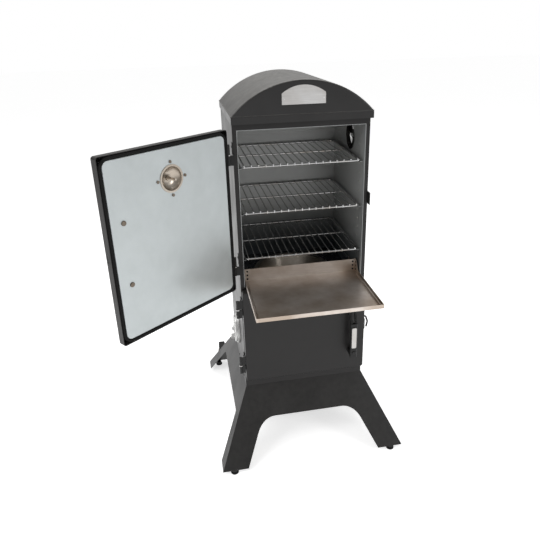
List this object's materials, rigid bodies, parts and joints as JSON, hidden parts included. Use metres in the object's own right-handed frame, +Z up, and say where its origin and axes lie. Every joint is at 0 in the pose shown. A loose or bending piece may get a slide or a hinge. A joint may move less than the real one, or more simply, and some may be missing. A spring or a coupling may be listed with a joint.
{
  "type": "cabinet smoker",
  "caption": "Upright cabinet smoker with hinged doors, wire racks, a slide-out shelf, an arched lid and a splayed base.",
  "frame": {"origin": "on the floor under the middle of the whole object's box, with the upper door open and the shelf out; the cabinet's own centre is at x 0.118, y 0.0451", "axes": "+Z up, -Y towards the doors, +X to the right seen from the front"},
  "size_m": [0.854, 0.8662, 1.224],
  "materials": {
    "body_paint": "satin",
    "base_paint": "satin",
    "plate_metal": "brushed",
    "black_plastic": "matte",
    "black_steel": "satin",
    "zinc_steel": "satin",
    "wheel_plastic": "matte",
    "liner_steel": "satin",
    "insulation": "matte",
    "gasket_rope": "matte",
    "stainless": "brushed",
    "dial_face": "matte",
    "needle_paint": "satin",
    "glass": "polished",
    "chrome_wire": "polished",
    "enamel": "gloss",
    "cast_aluminium": "as cast"
  },
  "bodies": {
    "cabinet": {"front_frame": "body_paint", "side_panels": "body_paint", "back_panel": "body_paint", "end_plates": "body_paint", "lid": "body_paint", "nameplate": "plate_metal", "base_front": "base_paint", "base_back": "base_paint", "base_sides": "base_paint", "foot_glides": "black_plastic", "wheel_brackets": "black_steel", "wheel_bolts": "zinc_steel", "liner_sides": "liner_steel", "liner_back": "liner_steel", "liner_ends": "liner_steel", "opening_trim": "liner_steel", "wall_insulation": "insulation", "hinge_brackets": "black_steel", "hinge_pins": "zinc_steel", "hinge_washers": "zinc_steel", "latch_strikes": "black_steel", "shelf_guides": "liner_steel", "rack_rails": "liner_steel", "pan_runners": "liner_steel", "bowl_support": "enamel", "damper_housings": "cast_aluminium", "damper_bolts": "zinc_steel", "tool_hook": "black_steel"},
    "upper_door": {"upper_door_skin": "body_paint", "upper_door_liner": "liner_steel", "upper_door_gasket": "gasket_rope", "upper_door_handle": "black_plastic", "upper_handle_insert": "plate_metal", "upper_door_screws": "zinc_steel", "upper_door_hinges": "black_steel", "thermometer_case": "stainless", "thermometer_dial": "dial_face", "thermometer_glass": "glass", "thermometer_cup": "stainless"},
    "thermometer_needle": {"thermometer_needle": "needle_paint"},
    "lower_door": {"lower_door_skin": "body_paint", "lower_door_liner": "liner_steel", "lower_door_gasket": "gasket_rope", "lower_door_handle": "black_plastic", "lower_handle_insert": "plate_metal", "lower_door_screws": "zinc_steel", "lower_door_hinges": "black_steel"},
    "shelf": {"shelf_tray": "stainless", "shelf_rivets": "black_steel"},
    "rack_bottom": {"rack_bottom": "chrome_wire"},
    "rack_middle": {"rack_middle": "chrome_wire"},
    "rack_top": {"rack_top": "chrome_wire"},
    "ash_pan": {"ash_pan": "enamel"},
    "charcoal_basket": {"charcoal_basket": "enamel"},
    "water_bowl": {"water_bowl": "stainless"},
    "intake_damper_left": {"intake_damper_left": "cast_aluminium"},
    "intake_damper_right": {"intake_damper_right": "cast_aluminium"},
    "exhaust_damper": {"exhaust_damper": "cast_aluminium"},
    "wheel_left": {"wheel_left": "wheel_plastic"},
    "wheel_right": {"wheel_right": "wheel_plastic"}
  },
  "joints": [
    {"name": "upper_door_hinge", "type": "hinge", "parent": "cabinet", "child": "upper_door", "pos_m": [-0.1, -0.1549, 0.86], "axis": [0, 0, -1], "range_deg": [-140.8, 25]},
    {"name": "needle_turn", "type": "hinge", "parent": "upper_door", "child": "thermometer_needle", "pos_m": [-0.27968, -0.27951, 1.012], "axis": [0.632, -0.7749, 0], "range_deg": [0, 270]},
    {"name": "lower_door_hinge", "type": "hinge", "parent": "cabinet", "child": "lower_door", "pos_m": [-0.1, -0.1549, 0.43], "axis": [0, 0, -1], "range_deg": [0, 135]},
    {"name": "shelf_slide", "type": "slide", "parent": "cabinet", "child": "shelf", "axis": [0, -1, 0], "range_m": [-0.206, 0]},
    {"name": "rack_bottom_slide", "type": "slide", "parent": "cabinet", "child": "rack_bottom", "axis": [0, -1, 0], "range_m": [0, 0.25]},
    {"name": "rack_middle_slide", "type": "slide", "parent": "cabinet", "child": "rack_middle", "axis": [0, -1, 0], "range_m": [0, 0.25]},
    {"name": "rack_top_slide", "type": "slide", "parent": "cabinet", "child": "rack_top", "axis": [0, -1, 0], "range_m": [0, 0.25]},
    {"name": "ash_pan_slide", "type": "slide", "parent": "cabinet", "child": "ash_pan", "axis": [0, -1, 0], "range_m": [0, 0.2432]},
    {"name": "charcoal_basket_lift", "type": "slide", "parent": "ash_pan", "child": "charcoal_basket", "axis": [0, 0, 1], "range_m": [0, 0.05]},
    {"name": "water_bowl_lift", "type": "slide", "parent": "cabinet", "child": "water_bowl", "axis": [0, 0, 1], "range_m": [0, 0.04]},
    {"name": "intake_damper_left_turn", "type": "hinge", "parent": "cabinet", "child": "intake_damper_left", "pos_m": [-0.092, 0.0251, 0.365], "axis": [-1, 0, 0], "range_deg": [0, 60]},
    {"name": "intake_damper_right_turn", "type": "hinge", "parent": "cabinet", "child": "intake_damper_right", "pos_m": [0.328, 0.0251, 0.365], "axis": [1, 0, 0], "range_deg": [0, 60]},
    {"name": "exhaust_damper_turn", "type": "hinge", "parent": "cabinet", "child": "exhaust_damper", "pos_m": [0.328, 0.0201, 1.031], "axis": [1, 0, 0], "range_deg": [0, 60]},
    {"name": "wheel_left_spin", "type": "hinge", "parent": "cabinet", "child": "wheel_left", "pos_m": [-0.132, 0.3951, 0.042], "axis": [1, 0, 0], "continuous": true},
    {"name": "wheel_right_spin", "type": "hinge", "parent": "cabinet", "child": "wheel_right", "pos_m": [0.368, 0.3951, 0.042], "axis": [1, 0, 0], "continuous": true}
  ],
  "couplings": [
    {"joint": "ash_pan_slide", "follows": "lower_door_hinge", "m_per_rad": 0.1031}
  ]
}
